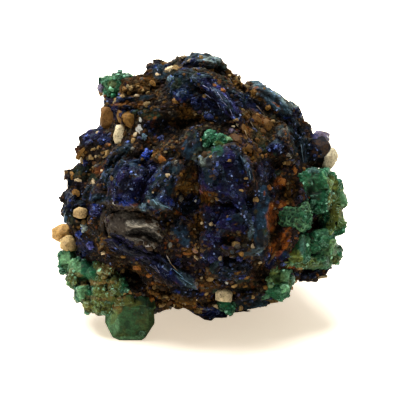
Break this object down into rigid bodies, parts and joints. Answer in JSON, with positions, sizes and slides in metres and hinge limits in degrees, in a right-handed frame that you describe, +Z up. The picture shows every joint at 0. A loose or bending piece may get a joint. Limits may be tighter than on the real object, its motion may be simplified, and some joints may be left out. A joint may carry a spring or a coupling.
{
  "type": "azurite and chalcopyrite specimen",
  "caption": "Rough mineral nodule of intergrown azurite plates in rusty sandstone, with blocky malachite crystals, a dark chalcopyrite patch and loose-looking sand grains.",
  "frame": {"origin": "centre of the nodule's bounding box in plan, on the surface that it rests on", "axes": "+Z up, as the nodule rests; +X to the right across its longest extent; -Y towards the viewer, the side with the chalcopyrite patch"},
  "size_m": [0.0445, 0.0417, 0.0396],
  "materials": {
    "azurite": "satin",
    "malachite": "satin",
    "chalcopyrite": "gloss",
    "quartz": "satin",
    "feldspar": "matte",
    "sandstone": "matte"
  },
  "bodies": {
    "root": {"azurite_mass": "azurite", "malachite_foot_crystal": "malachite", "malachite_cluster_left": "malachite", "malachite_cluster_right_upper": "malachite", "malachite_block_right": "malachite", "malachite_cluster_right_lower": "malachite", "malachite_crystal_lower_right": "malachite", "malachite_tuft_top_left": "malachite", "malachite_crust_centre": "malachite", "malachite_crystal_bottom": "malachite", "malachite_cluster_back": "malachite", "chalcopyrite_patch": "chalcopyrite", "quartz_pebble_right": "quartz", "quartz_pebble_left": "quartz", "quartz_pebble_rim": "quartz", "feldspar_grain_left": "feldspar", "feldspar_block_upper_left": "feldspar", "feldspar_chip_bottom": "feldspar", "sandstone_grain_upper_left": "sandstone"}
  },
  "joints": []
}
